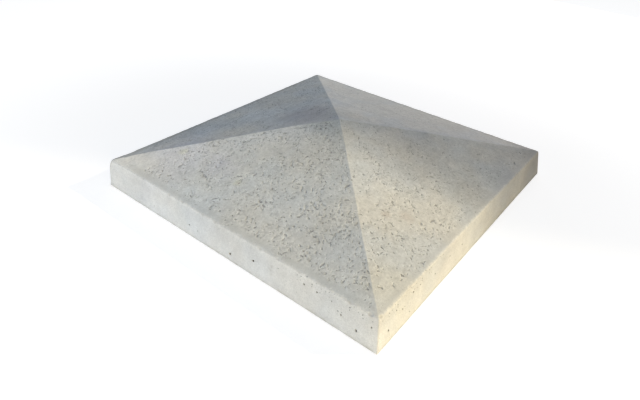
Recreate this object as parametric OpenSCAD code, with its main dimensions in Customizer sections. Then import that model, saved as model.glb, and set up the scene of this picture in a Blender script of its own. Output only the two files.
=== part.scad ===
// Square pier cap, cast in one piece in pale concrete.
// Four equal slopes shed water from a central apex, drafted sides drop from a rounded arris,
// and a drip groove runs round the flat bed, so that water falls clear of the pier.
// Millimetres, +Z up. The origin is the middle of the bed.

/* [Plan] */
// Side of the square, across the bottom edges
base_w = 450; // [300:5:600]

/* [Sides] */
// Height of a side, from the bed to the arris
side_h = 40; // [25:1:60]
// How far a side leans in over that height, so that the cap leaves its mould
side_draft = 7; // [0:0.5:10]
// Radius of the rounded arris between a side and a slope
arris_r = 2.5; // [1:0.5:8]

/* [Slopes] */
// Rise of the slopes, from the arris to the apex
slope_rise = 58; // [20:1:90]

/* [Drip groove] */
// Plain margin of the bed, from the bottom edge to the mouth of the groove
drip_margin = 25; // [15:1:40]
// Width of the groove's mouth
drip_w = 14; // [10:1:18]
// Depth of the groove, a shallow arc in section
drip_d = 6; // [3:0.5:7]

/* [Hidden] */
$fn = 64;
// Length by which a cutter or a prism runs past the faces that bound it
past = 1;
half_base = base_w / 2;
half_top = half_base - side_draft;
top_h = side_h + slope_rise;
// Lean of a side from the vertical, slope of the weathering, and the turn between them
side_lean = atan2(side_draft, side_h);
slope_angle = atan2(slope_rise, half_top);
arris_turn = 90 - side_lean - slope_angle;
// Distance from the arris corner to each end of its arc
arris_cut = arris_r * tan(arris_turn / 2);
// Radius of the arc whose chord is the groove's mouth, and the distance out to its middle
drip_r = (pow(drip_w / 2, 2) + pow(drip_d, 2)) / (2 * drip_d);
drip_out = half_base - drip_margin - drip_w / 2;

// Quarter section's sharp arris corner, and the ends of its arc down the side and up the slope
function arris() = [half_top, side_h];
function arc_low() = arris() + arris_cut * [sin(side_lean), -cos(side_lean)];
function arc_high() = arris() + arris_cut * [-cos(slope_angle), sin(slope_angle)];
// Middle of the arc, one radius square in from the side
function arc_middle() = arc_low() - arris_r * [cos(side_lean), sin(side_lean)];

// Right half of the section through the cap's middle, its arris rounded by a true arc
module half_section() {
    polygon([[0, 0], [half_base, 0], arc_low(), arc_middle(), arc_high(), [0, top_h]]);
    intersection() {
        translate(arc_middle()) circle(r = arris_r);
        polygon([arc_middle(), arc_low(), arris(), arc_high()]);
    }
}

// A long gable of that section, running along Y
module gable() {
    rotate([90, 0, 0])
        linear_extrude(height = base_w + 2 * past, center = true) {
            half_section();
            mirror([1, 0]) half_section();
        }
}

// Two gables crossed at right angles share four mitred slopes and sides
module cap_body() {
    intersection() {
        gable();
        rotate([0, 0, 90]) gable();
    }
}

// Quarter of the plan that belongs to the side facing -Y, out to the mitres
module side_wedge() {
    translate([0, 0, -past])
        linear_extrude(height = drip_d + 2 * past)
            polygon([[0, 0], [-half_base, -half_base], [half_base, -half_base]]);
}

// One length of the groove, mitred to its neighbours
module drip_run() {
    intersection() {
        translate([0, -drip_out, drip_d - drip_r])
            rotate([0, 90, 0])
                cylinder(r = drip_r, h = base_w, center = true);
        side_wedge();
    }
}

module drip_groove() {
    for (turn = [0:90:270])
        rotate([0, 0, turn]) drip_run();
}

module pier_cap() {
    color([0.79, 0.78, 0.74])
        difference() {
            cap_body();
            drip_groove();
        }
}

pier_cap();
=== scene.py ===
import itertools
import math

import bpy
import numpy as np
from mathutils import Matrix, Vector


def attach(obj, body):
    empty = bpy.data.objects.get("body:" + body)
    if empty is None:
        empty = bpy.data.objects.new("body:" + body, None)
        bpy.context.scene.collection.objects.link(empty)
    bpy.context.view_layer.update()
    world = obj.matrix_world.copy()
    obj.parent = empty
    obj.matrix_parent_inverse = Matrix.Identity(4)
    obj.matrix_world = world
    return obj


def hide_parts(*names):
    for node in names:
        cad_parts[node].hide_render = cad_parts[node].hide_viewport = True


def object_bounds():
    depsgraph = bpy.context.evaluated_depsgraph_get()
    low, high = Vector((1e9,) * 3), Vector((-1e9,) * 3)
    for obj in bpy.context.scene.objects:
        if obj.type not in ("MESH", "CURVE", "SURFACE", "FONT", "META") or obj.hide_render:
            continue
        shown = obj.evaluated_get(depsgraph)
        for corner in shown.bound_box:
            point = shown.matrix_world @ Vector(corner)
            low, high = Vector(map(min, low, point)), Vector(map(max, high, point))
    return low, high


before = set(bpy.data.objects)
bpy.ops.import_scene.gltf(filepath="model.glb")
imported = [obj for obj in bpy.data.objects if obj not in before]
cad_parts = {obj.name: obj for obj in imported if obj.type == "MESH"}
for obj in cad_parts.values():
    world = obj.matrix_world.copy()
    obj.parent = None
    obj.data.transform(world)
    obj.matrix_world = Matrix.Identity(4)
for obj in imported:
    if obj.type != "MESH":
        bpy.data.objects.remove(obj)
cad_low, cad_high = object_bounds()

# Square pier cap, cast in one piece in pale concrete.
# Its surface is worked out in millimetres, in the row's frame, and written in metres.
MM = 0.001

# Sizes of the casting: the plan and the height come from the frame, the rest from its mould
HALF_BASE = cad_high.x / MM
APEX_Z = cad_high.z / MM
SIDE_H = 40.0
SIDE_DRAFT = 7.0
ARRIS_R = 2.5
DRIP_MARGIN = 25.0
DRIP_W = 14.0
DRIP_D = 6.0
# Wear of the edges that the mould left sharp
BED_EDGE_R = 1.0
CORNER_R = 1.6
HALF_TOP = HALF_BASE - SIDE_DRAFT
SIDE_LEAN = math.atan2(SIDE_DRAFT, SIDE_H)
SLOPE = math.atan2(APEX_Z - SIDE_H, HALF_TOP)

# Cells of the surface grids
SLOPE_CELLS = 256
NARROW_CELLS = 6
NARROWEST = 0.35
ARRIS_CELLS = 5
SIDE_CELLS = 16
BED_EDGE_CELLS = 3
GROOVE_CELLS = 8
MARGIN_CELLS = 3
BED_CELLS = 28


def seeded(number):
    """A stream of random draws that is the same on every run."""
    return np.random.default_rng(number)


def cloud(points, size, seed):
    """Soft noise from -1 to 1: random values on a cubic lattice of that size in mm,
    blended between each cube's corners along the curve 3t^2 - 2t^3."""
    lattice = 64
    table = seeded(seed).uniform(-1, 1, (lattice, lattice, lattice))
    place = points / size
    cube = np.floor(place).astype(int)
    t = place - cube
    t = t * t * (3 - 2 * t)
    total = np.zeros(len(points))
    for corner in itertools.product((0, 1), repeat=3):
        share = np.prod(np.where(corner, t, 1 - t), axis=1)
        at = (cube + corner) % lattice
        total += share * table[at[:, 0], at[:, 1], at[:, 2]]
    return total


def ramp(value, start, end):
    """0 before start, 1 past end, and the curve 3t^2 - 2t^3 between them."""
    t = np.clip((value - start) / (end - start), 0, 1)
    return t * t * (3 - 2 * t)


# Air pits of the slopes. One rule places them in the mesh, where they dip, and in the nodes, where they
# darken. It stirs whole numbers by a factor, modulo another, and first shifts those of the cells above zero
HASH = 289
STIRRING = 34
CELL_SHIFT = 97
# How soon a pit is full size once its cell's density is reached, how far in mm it is moved off below that,
# and the rim, paled by a painted highlight, that a cell keeps room for
PIT_EDGE = 6.0
PIT_GAP = 1.0
PIT_RIM = 0.35
# How far the plan is stirred before the pits are placed, which bends them, and the size of that stirring
PIT_BEND = 1.3
PIT_BEND_SIZE = 2.6
# Each layer: its own number, size of a cell in mm, turn of its cells, longest half length, widest half
# width, and the power of the density that it takes, so that a slope with few pits has few large ones
PIT_LAYERS = [
    (7, 9.4, 0.42, 3.1, 1.30, 1.3),
    (23, 6.4, 1.13, 1.9, 1.00, 1.0),
    (41, 4.6, 2.02, 1.2, 0.70, 0.8),
]


def stirred(number):
    """Whole numbers under 289, well mixed: 34 times the square plus the number, modulo 289."""
    return ((STIRRING * number + 1) * number) % HASH


def pit_distance(plan, density, layer):
    """Distance in mm from each plan point to the edge of its cell's pit, negative inside.
    The plan is turned and ruled into square cells. A cell has at most one pit, a dash with round ends,
    whose presence, turn, length, width and place come from whole numbers mixed from the cell's own."""
    number, cell, turn, longest, widest, power = layer
    c, s = math.cos(turn), math.sin(turn)
    x, y = plan[:, 0], plan[:, 1]
    ruled = np.stack([x * c - y * s, x * s + y * c], 1) / cell + CELL_SHIFT + number
    whole = np.floor(ruled)
    inside = ruled - whole - 0.5
    mixed = stirred(stirred(whole[:, 0] % HASH) + whole[:, 1])
    draws = []
    for _ in range(6):
        draws.append(mixed / HASH)
        mixed = stirred(mixed + 1)
    there = np.clip((density ** power - draws[0]) * PIT_EDGE, 0, 1)
    half = longest * draws[2] ** 2
    radius = widest * (0.55 + 0.45 * draws[3]) * there
    room = np.maximum(0, 1 - 2 * (half + radius + PIT_RIM) / cell)
    off = (inside - (np.stack([draws[4], draws[5]], 1) - 0.5) * room[:, None]) * cell
    angle = math.pi * draws[1]
    along = off[:, 0] * np.cos(angle) + off[:, 1] * np.sin(angle)
    across = off[:, 1] * np.cos(angle) - off[:, 0] * np.sin(angle)
    beyond = np.maximum(np.abs(along) - half, 0)
    return np.hypot(beyond, across) - radius + (1 - there) * PIT_GAP


def arc(middle, radius, start, end, cells):
    """Points of the section at even angles on a circle, and the directions that they face."""
    angle = np.linspace(start, end, cells + 1)
    facing = np.stack([np.cos(angle), np.sin(angle)], 1)
    return np.array(middle) + radius * facing, facing


def section():
    """Half widths and heights down a side, from the arris to the bed, and the way each point faces:
    the arris's arc, a straight run down the drafted side, and the small arc of the worn bottom edge."""
    lean_out = np.array([math.cos(SIDE_LEAN), math.sin(SIDE_LEAN)])
    cut = ARRIS_R * math.tan((math.pi / 2 - SIDE_LEAN - SLOPE) / 2)
    arc_low = np.array([HALF_TOP + cut * math.sin(SIDE_LEAN), SIDE_H - cut * math.cos(SIDE_LEAN)])
    arris_middle = arc_low - ARRIS_R * lean_out
    arris, arris_facing = arc(arris_middle, ARRIS_R, math.pi / 2 - SLOPE, SIDE_LEAN, ARRIS_CELLS)
    edge_w = HALF_BASE - BED_EDGE_R * (1 + math.sin(SIDE_LEAN)) / math.cos(SIDE_LEAN)
    edge, edge_facing = arc((edge_w, BED_EDGE_R), BED_EDGE_R, SIDE_LEAN, -math.pi / 2, BED_EDGE_CELLS)
    share = np.linspace(0, 1, SIDE_CELLS + 1)[1:-1, None]
    side = arris[-1] * (1 - share) + edge[0] * share
    points = np.concatenate([arris, side, edge])
    facing = np.concatenate([arris_facing, np.tile(lean_out, (len(side), 1)), edge_facing])
    return points, facing


def grid_lines(cells, narrow, least):
    """Lines from -1 to 1, evenly spaced but for the last few cells at each end,
    which narrow in even steps to a least share of the others."""
    width = np.ones(cells)
    width[:narrow] = np.linspace(least, 1, narrow, endpoint=False)
    width[cells - narrow:] = width[:narrow][::-1]
    lines = np.concatenate([[0], np.cumsum(width)])
    return 2 * lines / lines[-1] - 1


def bed_lines(half):
    """Lines across the bed from -half to half: a few over each margin, even steps of angle over
    the groove's arc, and even steps between the grooves."""
    radius, middle = drip_arc()
    reach = math.asin(DRIP_W / 2 / radius)
    groove = middle + radius * np.sin(np.linspace(reach, -reach, GROOVE_CELLS + 1))
    margin = np.linspace(half, groove[0], MARGIN_CELLS + 1)[:-1]
    inner = np.linspace(groove[-1], 0, BED_CELLS // 2 + 1)[1:]
    outer_half = np.concatenate([margin, groove, inner])
    return np.concatenate([-outer_half, outer_half[-2::-1]])


def drip_arc():
    """Radius of the arc whose chord is the groove's mouth, and how far out its middle lies."""
    radius = ((DRIP_W / 2) ** 2 + DRIP_D ** 2) / (2 * DRIP_D)
    return radius, HALF_BASE - DRIP_MARGIN - DRIP_W / 2


def grid_faces(cells, first=0):
    """Two triangles for each cell of a square grid, facing up. The cut of a cell runs towards the middle,
    so that the four hips are lines of the mesh."""
    i, j = np.meshgrid(np.arange(cells), np.arange(cells))
    a = first + j * (cells + 1) + i
    b, c, d = a + 1, a + cells + 2, a + cells + 1
    rising = ((i < cells / 2) == (j < cells / 2))[..., None]
    one = np.where(rising, np.stack([a, b, c], -1), np.stack([a, b, d], -1))
    two = np.where(rising, np.stack([a, c, d], -1), np.stack([b, c, d], -1))
    return np.concatenate([one.reshape(-1, 3), two.reshape(-1, 3)])


def grid_rim(cells, first=0):
    """Vertex numbers round the edge of a square grid, anticlockwise from above, from its (-, -) corner."""
    n = np.arange(cells)
    last = cells * (cells + 1)
    return first + np.concatenate([n, cells + n * (cells + 1), last + cells - n, last - n * (cells + 1)])


def band_corners(upper, upper_next, lower, lower_next):
    """The two triangles of each cell between an upper row and a lower one, seen from outside:
    their vertex numbers, or their places on the flat map."""
    one = np.stack([upper, lower, lower_next], 1)
    two = np.stack([upper, lower_next, upper_next], 1)
    return np.concatenate([one, two])


def zip_faces(outer, outer_at, inner, inner_at):
    """Triangles, facing down, between a fine straight row of points and a coarse one: each fine step joins
    the nearest coarse point, and each coarse step joins the fine point at which that nearest one changes."""
    middles = (outer_at[:-1] + outer_at[1:]) / 2
    nearest = np.searchsorted((inner_at[:-1] + inner_at[1:]) / 2, middles)
    fine = np.stack([outer[1:], outer[:-1], inner[nearest]], 1)
    change = np.searchsorted(nearest, np.arange(len(inner) - 1), side="right")
    coarse = np.stack([outer[change], inner[:-1], inner[1:]], 1)
    return np.concatenate([fine, coarse])


def outward(x, y):
    """Unit directions in plan out of the side that each point belongs to, and between both on a mitre."""
    wide = np.maximum(np.abs(x), np.abs(y))
    level = np.stack([np.sign(x) * (np.abs(x) > wide - 1e-6), np.sign(y) * (np.abs(y) > wide - 1e-6)], 1)
    return level / np.maximum(np.linalg.norm(level, axis=1), 1e-9)[:, None]


def round_corners(plan, reach, radius):
    """Plan points with the square's corner beyond reach - radius pressed into a quarter circle:
    the overhang past that square keeps its direction and takes its larger part as its length."""
    core = reach - radius
    over = np.maximum(np.abs(plan) - core[:, None], 0)
    longest = over.max(1)
    length = np.maximum(np.linalg.norm(over, axis=1), 1e-9)
    both = over.min(1) > 0
    shrink = np.where(both, longest / length, 1)
    return np.sign(plan) * np.where(both[:, None], core[:, None] + over * shrink[:, None], np.abs(plan))


# Air holes of the two sides that face the front corner: side, distance from the front corner, height, radius
SOUTH, EAST, NORTH, WEST = range(4)
AIR_HOLES = [
    (WEST, 26, 12, 1.5),
    (WEST, 45, 20, 1.2),
    (WEST, 8, 26, 1.1),
    (WEST, 57, 31, 0.8),
    (WEST, 76, 34, 1.05),
    (WEST, 94, 34, 1.15),
    (WEST, 129, 33, 0.85),
    (WEST, 166, 20, 1.5),
    (WEST, 203, 11, 1.6),
    (WEST, 274, 14, 1.15),
    (WEST, 341, 10, 0.9),
    (SOUTH, 19, 15, 1.5),
    (SOUTH, 32, 30, 1.0),
    (SOUTH, 44, 22, 1.0),
    (SOUTH, 66, 29, 1.45),
    (SOUTH, 80, 33, 0.75),
    (SOUTH, 112, 23, 1.0),
    (SOUTH, 147, 25, 1.0),
    (SOUTH, 178, 22, 1.0),
]
# Air holes of each back side, placed by chance: how many, their least and largest radius, how far out along
# the side as a share of half its length, and the lowest height and the height above that
BACK_HOLES = 13
BACK_HOLE_R = (0.6, 1.3)
BACK_HOLE_REACH = 0.93
BACK_HOLE_LOW = 11
BACK_HOLE_RISE = 22
# Radius of a hole's floor, and its depth, as shares of its radius. The floor's rim is a share of that deep
HOLE_FLOOR = 0.80
HOLE_DEPTH = 1.9
HOLE_FLOOR_RIM = 0.8
# Rows of points that are kept free of holes under the arris and over the bottom edge
FREE_ROWS_HIGH = 3
FREE_ROWS_LOW = 5


def side_holes(across):
    """Every air hole as (ring column, height, radius): the ones above, and some by chance on the back sides.
    A side's columns run anticlockwise, so those of the west side count towards the front corner."""
    holes = []
    for side, away, height, radius in AIR_HOLES:
        at = HALF_TOP - away if side == WEST else away - HALF_TOP
        holes.append((side, at / HALF_TOP, height, radius))
    draw = seeded(311)
    for side in (EAST, NORTH):
        for _ in range(BACK_HOLES):
            at = draw.uniform(-BACK_HOLE_REACH, BACK_HOLE_REACH)
            height = BACK_HOLE_LOW + BACK_HOLE_RISE * draw.random() ** 0.6
            holes.append((side, at, height, draw.uniform(*BACK_HOLE_R)))
    placed = []
    for side, at, height, radius in holes:
        placed.append((side * SLOPE_CELLS + int(np.abs(across - at).argmin()), height, radius))
    return placed


def sink_holes(rings, heights, facing, holes):
    """Round holes in the side rings. The two square rings of points round a centre move onto circles of the
    hole's radius and of its floor, and the floor goes in by a depth.
    Returns how deep each point is in a hole, and which points are on a rim."""
    sunk = np.zeros(rings.shape[:2])
    rims = np.zeros(rings.shape[:2], bool)
    first_row = ARRIS_CELLS + FREE_ROWS_HIGH
    last_row = len(heights) - BED_EDGE_CELLS - FREE_ROWS_LOW
    step = np.arange(-2, 3)
    down, along = np.meshgrid(step, step, indexing="ij")
    ring = np.maximum(np.abs(down), np.abs(along))
    angle = np.arctan2(-down, along)
    for column, height, radius in holes:
        row = int(np.clip(np.abs(heights - height).argmin(), first_row, last_row))
        rows = row + down
        columns = column + along
        middle = rings[row, column]
        run = rings[row, column + 1] - rings[row, column]
        run = run / np.linalg.norm(run)
        rise = rings[row - 1, column] - rings[row, column]
        rise = rise / np.linalg.norm(rise)
        spread = np.choose(ring, [0, HOLE_FLOOR, 1]) * radius
        depth = np.choose(ring, [1, HOLE_FLOOR_RIM, 0]) * HOLE_DEPTH * radius
        rings[rows, columns] = (
            middle
            + (spread * np.cos(angle))[..., None] * run
            + (spread * np.sin(angle))[..., None] * rise
            - depth[..., None] * facing[row, column]
        )
        sunk[rows, columns] = np.choose(ring, [1, 0.9, 0])
        rims[rows, columns] = ring == 2
    return sunk, rims


# Chips and knocks along the edges: a place on the edge, the radius of the scoop, and how deep it goes
CHIPS = [
    ((-217, -206, 40), 4.2, 1.0),
    ((-217, -183, 40), 5.0, 0.9),
    ((-218, -150, 40), 3.4, 1.0),
    ((-217, -118, 40), 6.0, 0.8),
    ((-217, -88, 40), 3.2, 1.0),
    ((-217, -61, 40), 7.0, 0.8),
    ((-218, -36, 40), 3.0, 1.1),
    ((-217, -29, 40), 3.6, 0.9),
    ((-217, 12, 40), 5.5, 0.9),
    ((-217, 34, 40), 3.2, 1.0),
    ((-217, 71, 40), 4.0, 0.8),
    ((-217, 96, 40), 6.5, 0.8),
    ((-217, 150, 40), 5.0, 0.8),
    ((-212, -217, 40), 3.6, 0.9),
    ((-160, -217, 40), 4.2, 0.5),
    ((40, -217, 40), 5.0, 0.6),
    ((131, -217, 40), 4.0, 0.6),
    ((217, -80, 40), 6.0, 0.8),
    ((217, 120, 40), 5.0, 0.6),
    ((90, 217, 40), 6.0, 0.7),
    ((-224, -223, 22), 3.2, 0.7),
    ((-225, -100, 0), 5.0, 0.8),
    ((-225, -30, 0), 4.0, 0.6),
    ((-60, -225, 0), 4.6, 0.7),
    ((225, 60, 0), 5.0, 0.8),
    ((20, 225, 0), 5.0, 0.8),
]
# Chips of the arris lean up and those of the bottom edge down, by this rise for each step out
CHIP_RISE = 0.75
CHIP_DROP = -0.6
# The left corner was cast full, so that its upright leans less: by how much at the top, and how far along
# the sides. Then it was worn round: the ways it was rubbed, and how far below the sharp corner
FULL_CORNER = 3.6
FULL_WITHIN = 34.0
RUBBED_CORNER = (-220.5, 220.5, 40)
RUBS = [((-0.60, 0.60, 0.55), 3.0), ((-0.34, 0.34, 0.88), 1.6), ((-0.68, 0.68, 0.28), 1.6)]
RUB_SOFTNESS = 0.6


def chipped(points):
    """Points with a full and rubbed left corner and scooped chips, and how far chips and rubs moved each.
    The fullness grows with height and towards the corner. A point within a scoop's sphere moves out to
    its surface. A rub presses each point back to a plane, along the curve k ln(1 + e^(t / k))."""
    by_corner = np.linalg.norm(points[:, :2] - RUBBED_CORNER[:2], axis=1)
    full = FULL_CORNER * ramp(by_corner, FULL_WITHIN, 0) * ramp(points[:, 2], 0, SIDE_H)
    points = points + full[:, None] * np.array([-1, 1, 0]) / math.sqrt(2)
    before = points.copy()
    for place, radius, depth in CHIPS:
        edge = np.array(place, float)
        out = np.where((np.abs(edge) > HALF_TOP - 13) * (1, 1, 0), edge, 0)
        out /= np.linalg.norm(out)
        out[2] = CHIP_RISE if edge[2] > 30 else CHIP_DROP if edge[2] < 5 else 0
        middle = edge + out / np.linalg.norm(out) * (radius - depth)
        away = points - middle
        gap = np.linalg.norm(away, axis=1)
        near = gap < radius
        points[near] = middle + away[near] / gap[near, None] * radius
    for way, below in RUBS:
        way = np.array(way) / np.linalg.norm(way)
        past = (points - RUBBED_CORNER) @ way + below
        pressed = RUB_SOFTNESS * np.logaddexp(0, past / RUB_SOFTNESS)
        close = np.linalg.norm(before - RUBBED_CORNER, axis=1) < 40
        points -= way * (pressed * close)[:, None]
    return points, np.linalg.norm(points - before, axis=1)


# How much each slope is pitted and streaked, the smooth margin inside the arris, and the strip by each hip
PITTED = {SOUTH: 0.63, EAST: 0.22, NORTH: 0.64, WEST: 0.95}
STREAKED = {SOUTH: 0.1, EAST: 0.6, NORTH: 1.0, WEST: 0.1}
MARGIN = 8.0
HIP_STRIP = 3.0
# The south slope is pitted most about this spot in plan, and two thirds as much past this distance from it
THICK_SPOT = (-60, -160)
THICK_WITHIN = 160.0


def slope_of(points):
    """The slope that each point lies on, by the larger of |x| and |y|."""
    x, y = points[:, 0], points[:, 1]
    return np.where(np.abs(x) > np.abs(y), np.where(x > 0, EAST, WEST), np.where(y > 0, NORTH, SOUTH))


def pitting(points, reach):
    """Share of cells that hold a pit, from 0 to 1, at each point of the slopes, and how streaked it is.
    The share is a value for each slope, times soft patches. It fades out in the margin and towards the left
    corner, and falls to a third beside the hips."""
    x, y = points[:, 0], points[:, 1]
    slope = slope_of(points)
    share = np.array([PITTED[n] for n in range(4)])[slope]
    patches = 0.80 + 0.18 * cloud(points, 46, 5) + 0.70 * cloud(points, 12, 6)
    thick = np.linalg.norm(points[:, :2] - THICK_SPOT, axis=1)
    share *= np.where(slope == SOUTH, ramp(thick, THICK_WITHIN, 50) * 0.35 + 0.65, 1)
    wander = 3 * cloud(points, 21, 8)
    inside = ramp(HALF_TOP - reach, MARGIN - 4 + 1.6 * wander, MARGIN + 4 + 1.6 * wander)
    hips = 0.35 + 0.65 * ramp(np.abs(np.abs(x) - np.abs(y)), 1, HIP_STRIP + 4)
    smooth_left = np.where(slope == WEST, ramp(y + 5 * wander, 188, 143), 1)
    streaked = np.array([STREAKED[n] for n in range(4)])[slope]
    return np.clip(share * np.clip(patches, 0, 1.25) * inside * hips * smooth_left, 0, 1), streaked


def slope_form(lines, half):
    """Points of the four slopes over a square grid of lines, which way they face, and how far out each lies.
    The height falls with the larger of |x| and |y|, so that the slopes meet in four hips."""
    u, v = [a.ravel() for a in np.meshgrid(lines, lines)]
    reach = half * np.maximum(np.abs(u), np.abs(v))
    points = np.stack([half * u, half * v, SIDE_H + (HALF_TOP - reach) * math.tan(SLOPE)], 1)
    facing = np.concatenate([outward(u, v) * math.sin(SLOPE), np.full((len(u), 1), math.cos(SLOPE))], 1)
    worn = CORNER_R * ramp(reach, half - 7, half)
    points[:, :2] = round_corners(points[:, :2], reach, worn)
    return points, facing, reach


def side_form(lines, down, down_facing):
    """Rings of points round the arris and the sides, shaped (ring, column, 3), and which way they face:
    each ring is a square of that point of the section, with its corners worn round."""
    across, along = [a.ravel() for a in np.meshgrid(lines, lines)]
    square = np.stack([across, along], 1)[grid_rim(SLOPE_CELLS)]
    level = outward(square[:, 0], square[:, 1])
    shape = (len(down), len(square), 1)
    height = np.broadcast_to(down[:, 1, None, None], shape)
    rise = np.broadcast_to(down_facing[:, 1, None, None], shape)
    rings = np.concatenate([square[None] * down[:, 0, None, None], height], 2)
    facing = np.concatenate([level[None] * down_facing[:, 0, None, None], rise], 2)
    for ring, (reach, _) in zip(rings, down):
        ring[:, :2] = round_corners(ring[:, :2], np.full(len(ring), reach), np.full(len(ring), CORNER_R))
    return rings, facing


def bed_form(half):
    """Points of the bed over a square grid: flat, but for the drip groove, where the height is that of the
    groove's arc over the larger of |x| and |y|, so that its four runs are mitred. The floated face is
    a little uneven."""
    line = bed_lines(half)
    x, y = [a.ravel() for a in np.meshgrid(line, line)]
    radius, middle = drip_arc()
    reach = np.maximum(np.abs(x), np.abs(y))
    groove = np.sqrt(np.maximum(radius ** 2 - (reach - middle) ** 2, 0)) - (radius - DRIP_D)
    points = np.stack([x, y, np.maximum(groove, 0)], 1)
    points[:, 2] += np.clip(0.10 + 0.14 * cloud(points, 33, 51) + 0.06 * cloud(points, 12, 52), 0, 1)
    return points, line


# How far the hips wander, and how deep the mesh dips at a pit, whose sharp rim is the nodes' bump
HIP_WANDER = 0.42
PIT_DIP = 0.52
# The hip that runs to the left corner was cast a little to the back of its true line
LEFT_HIP_BACK = 3.0


def weathered(points, facing, on_slope, on_arris, pits):
    """Points of the outside as it left the mould and as it has worn: hips that wander in plan, faces that
    are slightly hollow or full, a ragged arris, and dips at the air pits. Soft noise gives each amount,
    and no face moves out past the mould's."""
    x, y = points[:, 0], points[:, 1]
    reach = np.maximum(np.abs(x), np.abs(y))
    gap = np.abs(np.abs(x) - np.abs(y))
    by_hip = on_slope * ramp(gap, 9, 0) * ramp(reach, HALF_TOP, HALF_TOP - 8) * ramp(reach, 1, 8)
    left_hip = on_slope * (x < 0) * (y > 0) * ramp(gap, 26, 0)
    left_hip = left_hip * ramp(reach, HALF_TOP, HALF_TOP - 30) * ramp(reach, 5, 50)
    over_hip = np.stack([-np.sign(y), np.sign(x), np.zeros(len(points))], 1) / math.sqrt(2)
    plan = points * (1, 1, 0)
    wander = HIP_WANDER * (cloud(plan, 13, 31) + 0.6 * cloud(plan, 5, 32))
    uneven = 0.22 + 0.16 * cloud(points, 58, 33)
    uneven += 0.05 * cloud(points, 9, 34) + 0.03 * cloud(points, 3.5, 35)
    ragged = on_arris * (0.12 + 0.18 * cloud(points, 11, 36) + 0.22 * cloud(points, 4, 37))
    dips = on_slope * PIT_DIP * ramp(pits, 0.9, -0.8)
    over = wander * by_hip - LEFT_HIP_BACK * left_hip
    return points + over_hip * over[:, None] - facing * (uneven + ragged + dips)[:, None]


# Slow changes of colour over the casting, most of them painted light and shade: lighter where more light
# fell, darker where shade lay, as at the right corner, on the north slope and along the front slope's shade.
# The smallest few are stains. Each: a place, a radius, what the colour is multiplied by at its middle, as one
# number where it is grey, and the one slope that it keeps to, or None
PAINTED_LIGHT_AND_TINTS = [
    ((0, 0, 98), 62, (0.91, 0.92, 0.93), None),
    ((-14, 0, 94), 46, (0.91, 0.92, 0.92), WEST),
    ((0, 50, 85), 66, (0.78, 0.77, 0.82), NORTH),
    ((-18, 164, 55), 104, (1.20, 1.19, 1.17), NORTH),
    ((-130, 170, 53), 60, (0.95, 0.975, 1.03), NORTH),
    ((40, -10, 87), 36, (1.05, 1.01, 0.96), EAST),
    ((-165, 130, 54), 62, (0.975, 0.985, 1.05), None),
    ((-150, 75, 58), 30, (0.98, 0.98, 1.03), None),
    ((-175, 60, 51), 80, (0.97, 0.995, 1.035), WEST),
    ((-185, -125, 48), 64, (0.91, 0.925, 0.95), WEST),
    ((-190, 185, 45), 34, (1.04, 1.02, 1.0), WEST),
    ((-175, -206, 42), 40, (1.03, 1.0, 0.94), None),
    ((-160, 35, 55), 7, (0.975, 0.965, 0.88), None),
    ((-155, 143, 56), 9, (1.0, 1.0, 0.90), None),
    ((-78, -160, 55), 13, (0.92, 0.88, 0.86), None),
    ((-95, -143, 60), 8, (0.94, 0.90, 0.88), None),
    ((-75, -100, 71), 60, 1.06, SOUTH),
    ((20, -120, 66), 60, 0.92, SOUTH),
    ((29, -184, 49), 46, (0.86, 0.87, 0.88), SOUTH),
    ((92, -145, 60), 84, (1.09, 1.09, 1.07), SOUTH),
    ((80, -222, 20), 44, 1.06, None),
    ((190, -222, 10), 54, (0.85, 0.85, 0.86), None),
    ((-75, -222, 20), 44, (0.95, 0.95, 0.96), None),
    ((-222, 208, 22), 36, (1.08, 1.07, 1.06), None),
    ((-223, -205, 14), 50, (1.09, 1.08, 1.06), None),
    ((-222, 0, 18), 74, 0.935, None),
    ((86, -88, 75), 8, (0.84, 0.85, 0.86), None),
    ((224, -224, 30), 78, (0.76, 0.77, 0.79), None),
    ((-221, -80, 27), 2.6, (0.80, 0.78, 0.75), None),
    ((-222, -79, 22), 2.6, (0.78, 0.76, 0.73), None),
    ((-223, -81, 17), 2.8, (0.84, 0.82, 0.79), None),
    ((-218, 150, 20), 26, (0.93, 0.93, 0.94), None),
    ((-218, 70, 22), 22, (0.94, 0.95, 0.95), None),
]
# Painted light and shade of a slope along one of its hips, lighter or darker beside the hip: the slope,
# the hip's way in plan, the width, and the factor
HIP_PAINTED_LIGHT = [
    (WEST, (-1, 1), 54, (1.23, 1.22, 1.22)),
    (NORTH, (-1, 1), 32, (0.85, 0.86, 0.90)),
    (EAST, (1, 1), 84, (1.12, 1.11, 1.10)),
    (EAST, (1, -1), 22, (0.92, 0.93, 0.95)),
]
# The two back slopes are darker inside the arris: how far in, and by what factor
BACK_EDGE = 13.0
BACK_EDGE_TONE = 0.78


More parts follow.
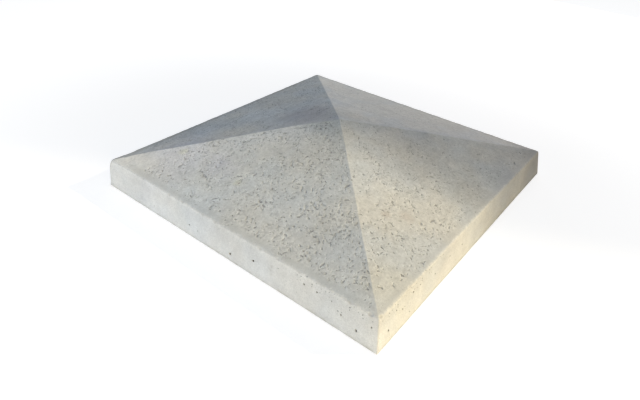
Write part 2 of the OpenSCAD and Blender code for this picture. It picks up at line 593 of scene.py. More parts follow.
def tinted(points, slope):
    """Colour factor at each point: the product of the tints, most of them painted light and shade, and of the
    painted light and shade beside the hips. Each fades out along the curve of ramp, with an outline that soft
    noise breaks up, and those along a hip fade in between the apex and 60 mm out.
    The two back slopes take their edge tone inside the arris."""
    factor = np.ones((len(points), 3))
    for n, (place, radius, painted_light_tint, only) in enumerate(PAINTED_LIGHT_AND_TINTS):
        away = np.linalg.norm(points - place, axis=1) / radius
        strength = ramp(away + 0.30 * cloud(points, radius * 0.45, 70 + n), 1.1, 0.1)
        strength = strength if only is None else strength * (slope == only)
        factor *= 1 + strength[:, None] * (np.array(painted_light_tint) - 1)
    out = ramp(np.abs(points[:, :2]).max(1), 15, 60)
    for n, (only, (x, y), width, painted_light_tint) in enumerate(HIP_PAINTED_LIGHT):
        away = np.abs(points[:, 0] * y - points[:, 1] * x) / math.sqrt(2) / width
        strength = ramp(away + 0.15 * cloud(points, 19, 100 + n) * np.minimum(3 * away, 1), 1, 0)
        factor *= 1 + (strength * out * (slope == only))[:, None] * (np.array(painted_light_tint) - 1)
    edge = ramp(np.abs(points[:, :2]).max(1) + 3 * cloud(points, 9, 110), HALF_TOP - BACK_EDGE, HALF_TOP - 4)
    back = (slope == EAST) | (slope == NORTH)
    return factor * (1 - (1 - BACK_EDGE_TONE) * edge * back)[:, None]


# Flat map of the surface: the share of its width that the slopes take, and the gap between its pieces
MAP_SLOPES = 0.69
MAP_GAP = 0.006


def side_strips(lines, down):
    """Places on the flat map of the left and right corners of every cell of the sides, (ring, column, 2).
    A point lies as far along its strip as along its side, and as far across as it is down the section."""
    scale = MAP_SLOPES / (2 * HALF_BASE)
    run = np.concatenate([[0], np.cumsum(np.linalg.norm(np.diff(down, axis=0), axis=1))])
    strip = (run[-1] * scale) + MAP_GAP / 2
    side = np.repeat(np.arange(4), SLOPE_CELLS)
    start = np.tile(lines[:-1], 4) * down[0, 0]
    end = np.tile(lines[1:], 4) * down[0, 0]
    top = MAP_SLOPES + 2 * MAP_GAP + side * strip
    places = []
    for at in (start, end):
        across = np.broadcast_to((at + HALF_BASE) * scale + MAP_GAP, (len(down), len(at)))
        places.append(np.stack([across, top[None] + run[:, None] * scale], 2))
    return places


def cap_surface():
    """The whole casting as one closed mesh: its points in mm, its triangles, the place of every triangle's
    corners on the flat map, the crease that each point lies on, and a value for each point of each mask."""
    down, down_facing = section()
    half = down[0, 0]
    lines = grid_lines(SLOPE_CELLS, NARROW_CELLS, NARROWEST)
    slopes, slopes_facing, reach = slope_form(lines, half)
    rings, rings_facing = side_form(lines, down[1:], down_facing[1:])
    hollow, rims = sink_holes(rings, down[1:, 1], rings_facing, side_holes(lines))

    columns = rings.shape[1]
    below = rings.size // 3
    outside = np.concatenate([slopes, rings.reshape(-1, 3)])
    facing = np.concatenate([slopes_facing, rings_facing.reshape(-1, 3)])
    facing /= np.linalg.norm(facing, axis=1)[:, None]
    on_slope = np.concatenate([np.ones(len(slopes)), np.zeros(below)])
    ring = np.repeat(np.arange(1, len(down)), columns)
    on_arris = np.concatenate([ramp(reach, half - 1.3, half), ramp(ring, ARRIS_CELLS + 1.5, ARRIS_CELLS)])
    density, streaked = [np.concatenate([value, np.zeros(below)]) for value in pitting(slopes, reach)]
    bend = np.stack([cloud(outside, PIT_BEND_SIZE, 9), cloud(outside, PIT_BEND_SIZE, 10)], 1) * PIT_BEND
    planned = outside[:, :2] + bend
    pits = np.min([pit_distance(planned, density, layer) for layer in PIT_LAYERS], axis=0)
    slope = np.concatenate([slope_of(slopes), np.full(below, -1)])
    outside, moved = chipped(weathered(outside, facing, on_slope, on_arris, pits))

    bed, bed_line = bed_form(down[-1, 0] - 4)
    points = np.concatenate([outside, bed])
    points = np.clip(points, np.array(cad_low) / MM, np.array(cad_high) / MM)

    # Triangles, and their corners on the flat map
    scale = MAP_SLOPES / (2 * HALF_BASE)
    bed_scale = (1 - MAP_SLOPES - 3 * MAP_GAP) / (2 * HALF_BASE)
    from_above = (points[:, :2] + HALF_BASE) * scale + MAP_GAP
    from_below = (points[:, :2] + HALF_BASE) * bed_scale + (MAP_SLOPES + 2 * MAP_GAP, MAP_GAP)
    rows = [grid_rim(SLOPE_CELLS)] + list(len(slopes) + np.arange(below).reshape(-1, columns))
    start, end = side_strips(lines, down)
    faces = [grid_faces(SLOPE_CELLS)]
    places = [from_above[faces[0]]]
    for n, (upper, lower) in enumerate(zip(rows[:-1], rows[1:])):
        faces.append(band_corners(upper, np.roll(upper, -1), lower, np.roll(lower, -1)))
        places.append(band_corners(start[n], end[n], start[n + 1], end[n + 1]))
    cells = len(bed_line) - 1
    bed_rim = grid_rim(cells, len(outside))
    for side in range(4):
        fine = np.take(rows[-1], np.arange(side * SLOPE_CELLS, (side + 1) * SLOPE_CELLS + 1), mode="wrap")
        coarse = np.take(bed_rim, np.arange(side * cells, (side + 1) * cells + 1), mode="wrap")
        faces.append(zip_faces(fine, lines * down[-1, 0], coarse, bed_line))
        places.append(from_below[faces[-1]])
    faces.append(grid_faces(cells, len(outside))[:, ::-1])
    places.append(from_below[faces[-1]])

    none = np.zeros(len(bed))
    masks = {
        "on_slope": on_slope,
        "arris": on_arris,
        "pitting": density,
        "streaked": streaked,
        "air_hole": np.concatenate([np.zeros(len(slopes)), hollow.ravel()]),
        "knocked": ramp(moved, 0.05, 0.5),
    }
    values = {label: np.concatenate([value, none]) for label, value in masks.items()}
    values["on_bed"] = np.concatenate([np.zeros(len(outside)), none + 1])
    values["painted_light_tint"] = tinted(points, np.concatenate([slope, none - 1]))
    values["bend"] = np.pad(planned - outside[:, :2], ((0, len(bed)), (0, 1)))
    across, along = np.meshgrid(lines, lines)
    on_hip = np.isclose(np.abs(across), np.abs(along)).ravel()
    crease = np.concatenate([on_hip, 2 * rims.ravel(), none]).astype(int)
    return points, np.concatenate(faces), np.concatenate(places), crease, values


def mesh_object(name, points, faces, places, crease, values):
    """One mesh object at the origin, from points in mm, triangles, their corners' places on the flat map,
    the number of the crease that each point lies on, or 0, and a value for each point of each mask.
    An edge between two points of one crease is shaded sharp."""
    mesh = bpy.data.meshes.new(name)
    mesh.vertices.add(len(points))
    mesh.vertices.foreach_set("co", (points * MM).astype(np.float32).ravel())
    mesh.loops.add(faces.size)
    mesh.loops.foreach_set("vertex_index", faces.astype(np.int32).ravel())
    mesh.polygons.add(len(faces))
    mesh.polygons.foreach_set("loop_start", np.arange(0, faces.size, 3, dtype=np.int32))
    mesh.update(calc_edges=True)
    mesh.shade_smooth()
    ends = np.empty(2 * len(mesh.edges), np.int32)
    mesh.edges.foreach_get("vertices", ends)
    pair = crease[ends.reshape(-1, 2)]
    sharp = mesh.attributes.new("sharp_edge", "BOOLEAN", "EDGE")
    sharp.data.foreach_set("value", (pair[:, 0] > 0) & (pair[:, 0] == pair[:, 1]))
    flat = mesh.uv_layers.new(name="OFBake")
    flat.data.foreach_set("uv", places.astype(np.float32).ravel())
    for label, value in values.items():
        kind, field = ("FLOAT", "value") if value.ndim == 1 else ("FLOAT_VECTOR", "vector")
        attribute = mesh.attributes.new(label, kind, "POINT")
        attribute.data.foreach_set(field, value.astype(np.float32).ravel())
    piece = bpy.data.objects.new(name, mesh)
    bpy.context.scene.collection.objects.link(piece)
    return piece


cap = mesh_object("cast_cap", *cap_surface())
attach(cap, "root")
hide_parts("pier_cap")


def give(tree, socket, term):
    """Set an input to a value, or join it to another node's output."""
    if isinstance(term, bpy.types.NodeSocket):
        tree.links.new(term, socket)
    else:
        socket.default_value = term


def calc(tree, operation, *terms, clamp=False):
    """Output of a Math node on values or sockets."""
    node = tree.nodes.new("ShaderNodeMath")
    node.operation = operation
    node.use_clamp = clamp
    for socket, term in zip(node.inputs, terms):
        give(tree, socket, term)
    return node.outputs[0]


def vector(tree, operation, *terms):
    """Output of a Vector Math node on vectors, colours or sockets."""
    node = tree.nodes.new("ShaderNodeVectorMath")
    node.operation = operation
    sockets = [node.inputs[0], node.inputs["Scale"]] if operation == "SCALE" else node.inputs
    for socket, term in zip(sockets, terms):
        give(tree, socket, term)
    return node.outputs["Value"] if operation == "LENGTH" else node.outputs["Vector"]


def split(tree, term):
    """The x, y and z of a vector."""
    node = tree.nodes.new("ShaderNodeSeparateXYZ")
    give(tree, node.inputs[0], term)
    return list(node.outputs)


def joined(tree, *terms):
    """A vector from its x, y and z."""
    node = tree.nodes.new("ShaderNodeCombineXYZ")
    for socket, term in zip(node.inputs, terms):
        give(tree, socket, term)
    return node.outputs[0]


def fade(tree, value, start, end, low=0.0, high=1.0):
    """From low at start to high at end, along the curve 3t^2 - 2t^3."""
    node = tree.nodes.new("ShaderNodeMapRange")
    node.interpolation_type = "SMOOTHSTEP"
    terms = {"Value": value, "From Min": start, "From Max": end, "To Min": low, "To Max": high}
    for name, term in terms.items():
        give(tree, node.inputs[name], term)
    return node.outputs["Result"]


def blend(tree, share, colour, other):
    """One colour going over into another by a share from 0 to 1."""
    node = tree.nodes.new("ShaderNodeMix")
    node.data_type = "RGBA"
    give(tree, node.inputs[0], share)
    for socket, term in ((node.inputs[6], colour), (node.inputs[7], other)):
        give(tree, socket, (*term, 1) if isinstance(term, tuple) else term)
    return node.outputs[2]


def mask(tree, label, output="Fac"):
    """A value, or as the output "Vector" a vector, that the mesh holds for each of its points."""
    node = tree.nodes.new("ShaderNodeAttribute")
    node.attribute_name = label
    return node.outputs[output]


# How far each number moves the noise, in clouds
NOISE_SHIFT = (17.3, 5.1, 9.7)


def drift(tree, point, size, number, detail=2.0, stretch=(1, 1, 1)):
    """Noise about 0.5 with clouds of that size in mm, drawn out by the stretch, and its own by number."""
    scale = tuple(1 / (size * n) for n in stretch)
    moved = vector(tree, "MULTIPLY_ADD", point, scale, tuple(number * n for n in NOISE_SHIFT))
    node = tree.nodes.new("ShaderNodeTexNoise")
    give(tree, node.inputs["Vector"], moved)
    give(tree, node.inputs["Scale"], 1.0)
    give(tree, node.inputs["Detail"], detail)
    return node.outputs["Fac"]


def swing(tree, noise, amount, about=1.0):
    """A factor that noise moves up and down about a value, by twice its distance from a half."""
    return calc(tree, "MULTIPLY_ADD", calc(tree, "SUBTRACT", noise, 0.5), 2 * amount, about)


def toned(tree, colour, share, amount):
    """A colour made paler by the share of an amount, or darker by that of a negative one."""
    return vector(tree, "SCALE", colour, calc(tree, "MULTIPLY_ADD", share, amount, 1))


def times(tree, *terms):
    """The product of values or sockets."""
    total = terms[0]
    for term in terms[1:]:
        total = calc(tree, "MULTIPLY", total, term)
    return total


def new_group(name, inputs, outputs):
    """An empty shader node group with those sockets, and the sockets inside it."""
    group = bpy.data.node_groups.new(name, "ShaderNodeTree")
    for label, kind in inputs:
        group.interface.new_socket(label, in_out="INPUT", socket_type=kind)
    for label, kind in outputs:
        group.interface.new_socket(label, in_out="OUTPUT", socket_type=kind)
    return group, group.nodes.new("NodeGroupInput").outputs, group.nodes.new("NodeGroupOutput").inputs


NUMBER = "NodeSocketFloat"


def stirred_group():
    """The rule of stirred, as nodes. Every step is a whole number that a float holds exactly."""
    group, given, put = new_group("stirred_number", [("Number", NUMBER)], [("Stirred", NUMBER)])
    number = given["Number"]
    square = calc(group, "MULTIPLY", calc(group, "MULTIPLY_ADD", number, STIRRING, 1), number)
    give(group, put["Stirred"], calc(group, "FLOORED_MODULO", square, HASH))
    return group


def pits_group(stirring):
    """The rule of pit_distance, as nodes: distance in mm from a plan point to the edge of its cell's pit,
    and a draw from 0 to 1 that is the same all over one pit."""
    sizes = [("Density", NUMBER), ("Number", NUMBER), ("Cell", NUMBER), ("Turn", NUMBER)]
    sizes += [("Longest", NUMBER), ("Widest", NUMBER)]
    inputs = [("Point", "NodeSocketVector")] + sizes
    group, given, put = new_group("air_pits", inputs, [("Distance", NUMBER), ("Draw", NUMBER)])

    def c(operation, *terms, **settings):
        return calc(group, operation, *terms, **settings)

    def stir(number):
        node = group.nodes.new("ShaderNodeGroup")
        node.node_tree = stirring
        give(group, node.inputs[0], number)
        return node.outputs[0]

    x, y, _ = split(group, given["Point"])
    cell = given["Cell"]
    cosine = c("COSINE", given["Turn"])
    sine = c("SINE", given["Turn"])
    shift = c("ADD", given["Number"], CELL_SHIFT)
    across = c("SUBTRACT", c("MULTIPLY", x, cosine), c("MULTIPLY", y, sine))
    along = c("ADD", c("MULTIPLY", x, sine), c("MULTIPLY", y, cosine))
    ruled = [c("ADD", c("DIVIDE", part, cell), shift) for part in (across, along)]
    whole = [c("FLOOR", part) for part in ruled]
    inside = [c("SUBTRACT", c("SUBTRACT", part, low), 0.5) for part, low in zip(ruled, whole)]
    mixed = stir(c("ADD", stir(c("FLOORED_MODULO", whole[0], HASH)), whole[1]))
    draws = []
    for _ in range(6):
        draws.append(c("DIVIDE", mixed, HASH))
        mixed = stir(c("ADD", mixed, 1))
    there = c("MULTIPLY", c("SUBTRACT", given["Density"], draws[0]), PIT_EDGE, clamp=True)
    half = c("MULTIPLY", given["Longest"], c("MULTIPLY", draws[2], draws[2]))
    width = c("MULTIPLY", given["Widest"], c("MULTIPLY_ADD", draws[3], 0.45, 0.55))
    radius = c("MULTIPLY", width, there)
    taken = c("MULTIPLY_ADD", c("ADD", half, radius), 2, 2 * PIT_RIM)
    room = c("MAXIMUM", c("SUBTRACT", 1, c("DIVIDE", taken, cell)), 0)
    off = []
    for part, draw in zip(inside, draws[4:]):
        middle = c("MULTIPLY", c("SUBTRACT", draw, 0.5), room)
        off.append(c("MULTIPLY", c("SUBTRACT", part, middle), cell))
    angle = c("MULTIPLY", draws[1], math.pi)
    cosine = c("COSINE", angle)
    sine = c("SINE", angle)
    long = c("ADD", c("MULTIPLY", off[0], cosine), c("MULTIPLY", off[1], sine))
    wide = c("SUBTRACT", c("MULTIPLY", off[1], cosine), c("MULTIPLY", off[0], sine))
    beyond = c("MAXIMUM", c("SUBTRACT", c("ABSOLUTE", long), half), 0)
    length = vector(group, "LENGTH", joined(group, beyond, wide, 0))
    gap = c("MULTIPLY", c("SUBTRACT", 1, there), PIT_GAP)
    give(group, put["Distance"], c("ADD", c("SUBTRACT", length, radius), gap))
    give(group, put["Draw"], draws[5])
    return group


def pits(tree, group, point, density, layer):
    """Distance to the nearest pit of one layer, and that pit's draw."""
    node = tree.nodes.new("ShaderNodeGroup")
    node.node_tree = group
    number, cell, turn, longest, widest, power = layer
    density = calc(tree, "POWER", density, power)
    terms = {"Point": point, "Density": density, "Number": number, "Cell": cell, "Turn": turn}
    terms.update({"Longest": longest, "Widest": widest})
    for name, term in terms.items():
        give(tree, node.inputs[name], term)
    return node.outputs["Distance"], node.outputs["Draw"]


# Colours of the dry concrete, as linear red, green and blue
SLOPE_WARM = (0.600, 0.592, 0.552)
SLOPE_COOL = (0.558, 0.573, 0.567)
SIDE_WARM = (0.646, 0.635, 0.595)
SIDE_COOL = (0.612, 0.618, 0.603)
BED_WARM = (0.520, 0.508, 0.468)
BED_COOL = (0.452, 0.452, 0.436)
# The arris's pale colour is wear, and partly a painted highlight along the edge
WORN_EDGE_AND_HIGHLIGHT = (0.700, 0.688, 0.642)
BROKEN = (0.600, 0.580, 0.525)
CRUMBS = (0.800, 0.790, 0.755)
# Colour of the darker bottom edge of the sides
DARK_BOTTOM_EDGE = (0.400, 0.385, 0.335)
# Pinholes of the sides and of the bed, a layer each, as in PIT_LAYERS
SIDE_PINHOLES = (11, 5.1, 0.31, 0.45, 0.62, 1)
BED_PINHOLES = (61, 9.5, 0.77, 0.9, 1.1, 1)
# Where the arcs that the float left on the bed have their middle
FLOAT_MIDDLE = (-420, -350, 0)
# How much paler each effect makes the colour, or darker where it is below zero
MARGIN_TONE = -0.035
MARGIN_LINE_TONE = -0.0275
DARK_GRAIN_TONE = -0.20
# The pits' darkening is dirt and painted shade in the hollows, and their rims' paleness a painted highlight
SHALLOW_PIT_DIRT_AND_SHADE = -0.135
DEEP_PIT_DIRT_AND_SHADE = -0.24
PIT_RIM_HIGHLIGHT = 0.12
DUST_TONE = -0.16
# Pinholes and air holes are darkened as painted shade in their hollows
PINHOLE_SHADE = -0.58
AIR_HOLE_SHADE = -0.90
FLOAT_TONE = 0.035
# How high each effect stands in the bump, in mm
PIT_RELIEF = -0.22
PIT_FLOOR_RELIEF = -0.35
PIT_RIM_RELIEF = 0.06
PINHOLE_RELIEF = -0.40
FLOAT_RELIEF = 0.07


def concrete():
    """Pale cast concrete: slow warm and cool drifts under mottles and sand grains, air pits on the slopes,
    darkened for dirt and painted shade, with rims paled as a painted highlight, a smooth margin inside a worn
    pale arris that also carries a painted highlight, faint runs on paler sides with painted light that makes
    them lighter towards the bottom, holes darkened as painted shade, and a floated bed."""
    material = bpy.data.materials.new("pale_cast_concrete")
    material.use_nodes = True
    tree = material.node_tree
    shader = tree.nodes["Principled BSDF"]
    place = vector(tree, "SCALE", tree.nodes.new("ShaderNodeTexCoord").outputs["Object"], 1 / MM)
    x, y, z = split(tree, place)
    reach = calc(tree, "MAXIMUM", calc(tree, "ABSOLUTE", x), calc(tree, "ABSOLUTE", y))
    on_slope, on_bed, arris = mask(tree, "on_slope"), mask(tree, "on_bed"), mask(tree, "arris")
    pitting, air_hole, knocked = mask(tree, "pitting"), mask(tree, "air_hole"), mask(tree, "knocked")
    on_side = calc(tree, "SUBTRACT", calc(tree, "SUBTRACT", 1, on_slope), on_bed, clamp=True)

    # Noise that several of the effects share
    broad = drift(tree, place, 70, 1)
    patch = drift(tree, place, 24, 2)
    mottle = drift(tree, place, 9, 3, detail=3)
    fine = drift(tree, place, 3.2, 4, detail=3)
    sand = drift(tree, place, 0.9, 5)

    # Air pits: they are bent as in the mesh, and their outlines broken up by finer moves of the point
    stray = tree.nodes.new("ShaderNodeTexNoise")
    give(tree, stray.inputs["Vector"], place)
    give(tree, stray.inputs["Scale"], 0.7)
    moved = vector(tree, "SUBTRACT", stray.outputs["Color"], (0.5, 0.5, 0.5))
    bent = vector(tree, "ADD", place, mask(tree, "bend", "Vector"))
    moved = vector(tree, "MULTIPLY_ADD", moved, (2.0, 2.0, 0), bent)
    group = pits_group(stirred_group())
    layers = [pits(tree, group, moved, pitting, layer) for layer in PIT_LAYERS]
    distance = calc(tree, "MINIMUM", calc(tree, "MINIMUM", layers[0][0], layers[1][0]), layers[2][0])
    pit = fade(tree, distance, 0.32, -0.40)
    bottom = fade(tree, distance, -0.1, -1.0)
    rim = times(tree, fade(tree, distance, 0.05, 0.30), fade(tree, distance, 0.95, 0.40))

    # Fine holes here and there on the sides and the bed, and closer under the arris towards the front corner
    flat_side = joined(tree, calc(tree, "ADD", x, y), z, 0)
    sparse = fade(tree, drift(tree, place, 45, 6), 0.42, 0.66, 0.02, 0.20)
    from_corner = vector(tree, "LENGTH", vector(tree, "SUBTRACT", place, (-HALF_TOP, -HALF_TOP, SIDE_H)))
    under_arris = times(tree, fade(tree, from_corner, 170, 60), fade(tree, z, 28, 33))
    sparse = calc(tree, "MULTIPLY_ADD", under_arris, 0.60, sparse)
    side_hole, _ = pits(tree, group, flat_side, times(tree, sparse, on_side), SIDE_PINHOLES)
    bed_hole, _ = pits(tree, group, moved, times(tree, on_bed, 0.22), BED_PINHOLES)
    pinhole = fade(tree, calc(tree, "MINIMUM", side_hole, bed_hole), 0.12, -0.15)

    # Tone of each face
    slope_tone = blend(tree, fade(tree, broad, 0.34, 0.66), SLOPE_WARM, SLOPE_COOL)
    side_tone = blend(tree, fade(tree, broad, 0.36, 0.64), SIDE_WARM, SIDE_COOL)
    bed_tone = blend(tree, fade(tree, patch, 0.35, 0.65), BED_WARM, BED_COOL)
    colour = blend(tree, on_bed, blend(tree, on_slope, side_tone, slope_tone), bed_tone)

    # Smooth margin inside the arris, with a faint line where it ends, and the pale arris: worn, and partly a
    # painted highlight along the edge
    wander = swing(tree, drift(tree, place, 16, 7), 2.6, 0.0)
    inward = calc(tree, "ADD", calc(tree, "SUBTRACT", HALF_TOP, reach), wander)
    margin = times(tree, fade(tree, inward, MARGIN + 3, MARGIN - 2), on_slope)
    line = times(tree, margin, fade(tree, inward, MARGIN - 7, MARGIN))
    colour = toned(tree, toned(tree, colour, line, MARGIN_LINE_TONE), margin, MARGIN_TONE)
    edge = times(tree, arris, fade(tree, fine, 0.38, 0.62, 0.20, 0.58))
    colour = blend(tree, edge, colour, WORN_EDGE_AND_HIGHLIGHT)
    by_edge = fade(tree, z, SIDE_H - 3.6, SIDE_H - 1.0)
    by_edge = times(tree, by_edge, fade(tree, z, SIDE_H + 1.7, SIDE_H + 0.6))
    crumbs = fade(tree, drift(tree, place, 2.4, 12), 0.58, 0.66)
    crumbs = times(tree, crumbs, fade(tree, drift(tree, place, 14, 13), 0.42, 0.60))
    colour = blend(tree, times(tree, crumbs, by_edge, 0.42), colour, CRUMBS)
    colour = blend(tree, times(tree, knocked, 0.8), colour, BROKEN)

    # Mottles, sand grains, runs down the sides, and painted light that makes the sides lighter towards the
    # bottom, as the floor's bounce lights them
    runs = drift(tree, place, 12, 8, stretch=(1, 1, 6))
    quiet = calc(tree, "MULTIPLY_ADD", calc(tree, "MAXIMUM", margin, on_side), -0.5, 1)
    broken_tone = calc(tree, "ADD", swing(tree, fine, 0.22, 0), swing(tree, mottle, 0.16, 0))
    rough_side = calc(tree, "MULTIPLY_ADD", on_side, 0.7, 1)
    sandy = times(tree, swing(tree, sand, 0.16, 0), rough_side)
    broken_tone = calc(tree, "MULTIPLY_ADD", broken_tone, quiet, sandy)
    tone = calc(tree, "ADD", swing(tree, patch, 0.10), broken_tone)
    # Runs, and painted light from the floor's bounce: the sides lighter towards the bottom, darker at the top
    side_runs_and_bounce_light = calc(tree, "ADD", swing(tree, runs, 0.05, 0), fade(tree, z, 37, 5, -0.04, 0.065))
    tone = calc(tree, "MULTIPLY_ADD", times(tree, side_runs_and_bounce_light, on_side), tone, tone)
    along_x = drift(tree, place, 7, 10, detail=4, stretch=(9, 1, 1))
    along_y = drift(tree, place, 7, 11, detail=4, stretch=(1, 9, 1))
    faces_x = calc(tree, "GREATER_THAN", calc(tree, "ABSOLUTE", x), calc(tree, "ABSOLUTE", y))
    streak = calc(tree, "MULTIPLY_ADD", calc(tree, "SUBTRACT", along_y, along_x), faces_x, along_x)
    tone = calc(tree, "MULTIPLY_ADD", swing(tree, streak, 0.17, 0), mask(tree, "streaked"), tone)
    colour = vector(tree, "SCALE", colour, tone)
    grains = tree.nodes.new("ShaderNodeTexVoronoi")
    give(tree, grains.inputs["Vector"], place)
    give(tree, grains.inputs["Scale"], 0.85)
    grain = split(tree, grains.outputs["Color"])[0]
    dark_grain = times(tree, fade(tree, grain, 0.90, 0.94), fade(tree, grains.outputs["Distance"], 0.45, 0.25))
    colour = toned(tree, colour, dark_grain, DARK_GRAIN_TONE)

    # Pits are darker than the face, each by its own draw: dirt, and painted shade in the hollow. Their rims
    # are paler: a painted highlight
    for gap, draw in layers:
        tone = calc(tree, "MULTIPLY_ADD", times(tree, draw, draw), DEEP_PIT_DIRT_AND_SHADE, SHALLOW_PIT_DIRT_AND_SHADE)
        colour = toned(tree, colour, fade(tree, gap, 0.32, -0.40), tone)
    dusty = times(tree, fade(tree, drift(tree, place, 5, 9, detail=3), 0.52, 0.62), pitting)
    # Painted shade darkens the air holes and pinholes, the rims take their painted highlight, and dust darkens
    # the pitted parts
    inside = fade(tree, air_hole, 0.10, 0.75)
    effects = [(rim, PIT_RIM_HIGHLIGHT), (dusty, DUST_TONE), (pinhole, PINHOLE_SHADE), (inside, AIR_HOLE_SHADE)]
    for share, amount in effects:
        colour = toned(tree, colour, share, amount)

    # Darker in patches at the bottom edge of the sides, and the slow tints of the whole casting, most of them
    # painted light and shade
    darker_bottom = times(tree, fade(tree, z, 6, 0.5), calc(tree, "SUBTRACT", 1, on_slope))
    darker_bottom = times(tree, darker_bottom, fade(tree, mottle, 0.38, 0.62, 0.10, 0.55))
    colour = blend(tree, darker_bottom, colour, DARK_BOTTOM_EDGE)
    # Painted light and shade of the tints, with their few stains
    colour = vector(tree, "MULTIPLY", colour, mask(tree, "painted_light_tint", "Vector"))

    # Arcs that the float left on the bed
    from_elbow = vector(tree, "LENGTH", vector(tree, "SUBTRACT", place, FLOAT_MIDDLE))
    stirred_arc = calc(tree, "MULTIPLY_ADD", patch, 26, from_elbow)
    arcs = calc(tree, "SINE", times(tree, stirred_arc, 0.62))
    arcs = times(tree, arcs, on_bed, fade(tree, broad, 0.40, 0.60))
    give(tree, shader.inputs["Base Color"], toned(tree, colour, arcs, FLOAT_TONE))

    # Matt, rougher in the pits and a little closed in the margin and on the sides
    dull = swing(tree, mottle, 0.10, 0.84)
    dull = calc(tree, "MULTIPLY_ADD", pit, 0.10, dull)
    dull = calc(tree, "MULTIPLY_ADD", calc(tree, "MAXIMUM", margin, on_side), -0.08, dull, clamp=True)
    give(tree, shader.inputs["Roughness"], dull)
    give(tree, shader.inputs["Specular IOR Level"], 0.2)

    # Relief in mm
    relief = calc(tree, "ADD", swing(tree, fine, 0.10, 0), swing(tree, mottle, 0.12, 0))
    relief = calc(tree, "ADD", relief, swing(tree, sand, 0.055, 0))
    closed = calc(tree, "MULTIPLY_ADD", margin, 0.35, times(tree, on_side, 0.62))
    relief = times(tree, relief, calc(tree, "SUBTRACT", 1, closed))
    effects = [(pit, PIT_RELIEF), (bottom, PIT_FLOOR_RELIEF), (rim, PIT_RIM_RELIEF)]
    effects += [(pinhole, PINHOLE_RELIEF), (arcs, FLOAT_RELIEF)]
    for share, height in effects:
        relief = calc(tree, "MULTIPLY_ADD", share, height, relief)
    bump = tree.nodes.new("ShaderNodeBump")
    give(tree, bump.inputs["Distance"], MM)
    give(tree, bump.inputs["Height"], relief)
    give(tree, shader.inputs["Normal"], bump.outputs["Normal"])
    return material


cap.data.materials.append(concrete())


def seen_directly(tree):
    """1 where the camera sees the background, straight or in gloss or glass, and 0 for light on the cap."""
    path = tree.nodes.new("ShaderNodeLightPath").outputs
    seen = calc(tree, "ADD", path["Is Camera Ray"], path["Is Glossy Ray"])
    return calc(tree, "ADD", seen, path["Is Transmission Ray"], clamp=True)


# Pale studio floor: it looks white, and it keeps the cap's soft shadow. Its glow near the cap and far from
# it, the distances in m of both, its colour as drawn and as it reflects, and half its width in m
FLOOR_GLOW_NEAR = 0.77
FLOOR_GLOW_FAR = 0.92
FLOOR_NEAR = 0.32
FLOOR_FAR = 0.80
FLOOR_SHOWN = 0.40
FLOOR_COLOUR = 0.80
FLOOR_HALF = 6.0


def studio_floor():
    """A plain matt floor, drawn near white for the camera, so that only a faint shadow shows on it.
    Its own glow grows with the distance from the cap, as the light on it falls off."""
    material = bpy.data.materials.new("white_floor")
    material.use_nodes = True
    tree = material.node_tree
    tree.nodes.clear()
    matt = tree.nodes.new("ShaderNodeBsdfDiffuse")
    give(tree, matt.inputs["Color"], (FLOOR_COLOUR, FLOOR_COLOUR, FLOOR_COLOUR, 1))
    shown = tree.nodes.new("ShaderNodeBsdfDiffuse")
    give(tree, shown.inputs["Color"], (FLOOR_SHOWN, FLOOR_SHOWN, FLOOR_SHOWN, 1))
    glow = tree.nodes.new("ShaderNodeEmission")
    away = vector(tree, "LENGTH", tree.nodes.new("ShaderNodeTexCoord").outputs["Object"])
    strength = fade(tree, away, FLOOR_NEAR, FLOOR_FAR, FLOOR_GLOW_NEAR, FLOOR_GLOW_FAR)
    give(tree, glow.inputs["Strength"], strength)
    both = tree.nodes.new("ShaderNodeAddShader")
    tree.links.new(shown.outputs[0], both.inputs[0])
    tree.links.new(glow.outputs[0], both.inputs[1])
    choice = tree.nodes.new("ShaderNodeMixShader")
    give(tree, choice.inputs[0], seen_directly(tree))
    tree.links.new(matt.outputs[0], choice.inputs[1])
    tree.links.new(both.outputs[0], choice.inputs[2])
    tree.links.new(choice.outputs[0], tree.nodes.new("ShaderNodeOutputMaterial").inputs["Surface"])
    return material


floor_mesh = bpy.data.meshes.new("floor")
corners = [(-FLOOR_HALF, -FLOOR_HALF, 0), (FLOOR_HALF, -FLOOR_HALF, 0)]
corners += [(FLOOR_HALF, FLOOR_HALF, 0), (-FLOOR_HALF, FLOOR_HALF, 0)]
floor_mesh.from_pydata(corners, [], [(0, 1, 2, 3)])
floor = bpy.data.objects.new("floor", floor_mesh)
floor_mesh.materials.append(studio_floor())
bpy.context.scene.collection.objects.link(floor)

# Studio: a white surround, a faint fill, five soft lamps, and a warm lamp whose soft edge lies across the
# south slope
FILL = 0.06
world = bpy.data.worlds.new("studio")
bpy.context.scene.world = world
world.use_nodes = True
sky = world.node_tree
give(sky, sky.nodes["Background"].inputs["Color"], (1, 1, 1, 1))
strength = fade(sky, seen_directly(sky), 0, 1, FILL, 1)
give(sky, sky.nodes["Background"].inputs["Strength"], strength)

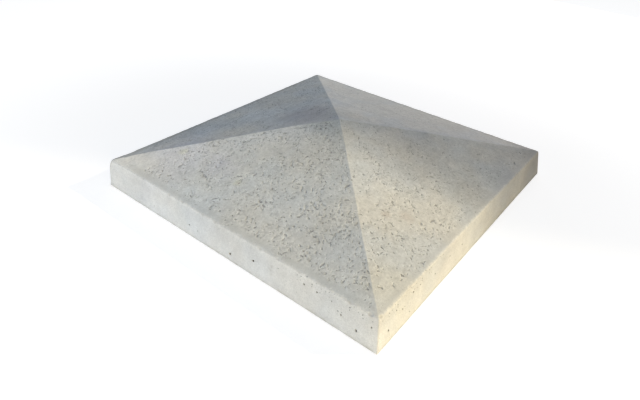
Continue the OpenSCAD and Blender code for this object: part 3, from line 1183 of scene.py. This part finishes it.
# Each soft lamp: a name, how far round from +X in degrees, distance, height and size in m, power by colour
SOFT_LAMPS = [
    ("right_low", 0, 1.3, 0.35, 0.7, (7.6, 6.2, 5.0)),
    ("back_right_low", 30, 1.3, 0.20, 0.5, (3.3, 3.7, 3.8)),
    ("left_low", 172, 0.75, 0.20, 0.4, (2.2, 2.35, 2.55)),
    ("near_low", 240, 1.3, 0.35, 0.7, (7.1, 6.1, 4.3)),
    ("overhead", 10, 0.3, 1.6, 1.0, (2.1, 3.4, 5.3)),
]
WARM_POWER = (3110, 2758, 2060)
WARM_PLACE = (5.884, -5.557, 5.085)
WARM_AIM = (-9.520, 1.303, 0.03)
WARM_HALF_ANGLE = 0.4068
WARM_EDGE = 0.0628
WARM_SIZE = 0.012


def aimed_lamp(name, kind, place, aim, power):
    """A lamp of that kind at a place, turned to an aim point, with its power in red, green and blue."""
    lamp = bpy.data.lights.new(name, kind)
    lamp.energy = max(power)
    lamp.color = [part / max(power) for part in power]
    lamp_object = bpy.data.objects.new(name, lamp)
    lamp_object.location = place
    lamp_object.rotation_euler = (Vector(aim) - Vector(place)).to_track_quat("-Z", "Y").to_euler()
    bpy.context.scene.collection.objects.link(lamp_object)
    return lamp


for name, turn, distance, height, size, power in SOFT_LAMPS:
    angle = math.radians(turn)
    spot = (distance * math.cos(angle), distance * math.sin(angle), height)
    aimed_lamp(name, "AREA", spot, (0, 0, 0.05), power).size = size
warm = aimed_lamp("warm_key", "SPOT", WARM_PLACE, WARM_AIM, WARM_POWER)
warm.spot_size = 2 * WARM_HALF_ANGLE
warm.spot_blend = WARM_EDGE
warm.shadow_soft_size = WARM_SIZE

# Camera, as fitted to the photograph: place and aim point in m, lens in mm, shift, and roll in degrees
CAMERA_PLACE = Vector((-0.51489, -0.37333, 0.40914))
CAMERA_AIM = Vector((-0.09324, -0.07241, 0.045))
CAMERA_LENS = 28.738
CAMERA_SHIFT = -0.0281
CAMERA_ROLL = 3.623
camera_data = bpy.data.cameras.new("camera")
camera_data.lens = CAMERA_LENS
camera_data.shift_x = CAMERA_SHIFT
camera = bpy.data.objects.new("camera", camera_data)
bpy.context.scene.collection.objects.link(camera)
turn = (CAMERA_AIM - CAMERA_PLACE).to_track_quat("-Z", "Y").to_matrix().to_4x4()
roll = Matrix.Rotation(math.radians(CAMERA_ROLL), 4, "Z")
camera.matrix_world = Matrix.Translation(CAMERA_PLACE) @ turn @ roll
bpy.context.scene.camera = camera
bpy.context.scene.view_settings.view_transform = "Standard"
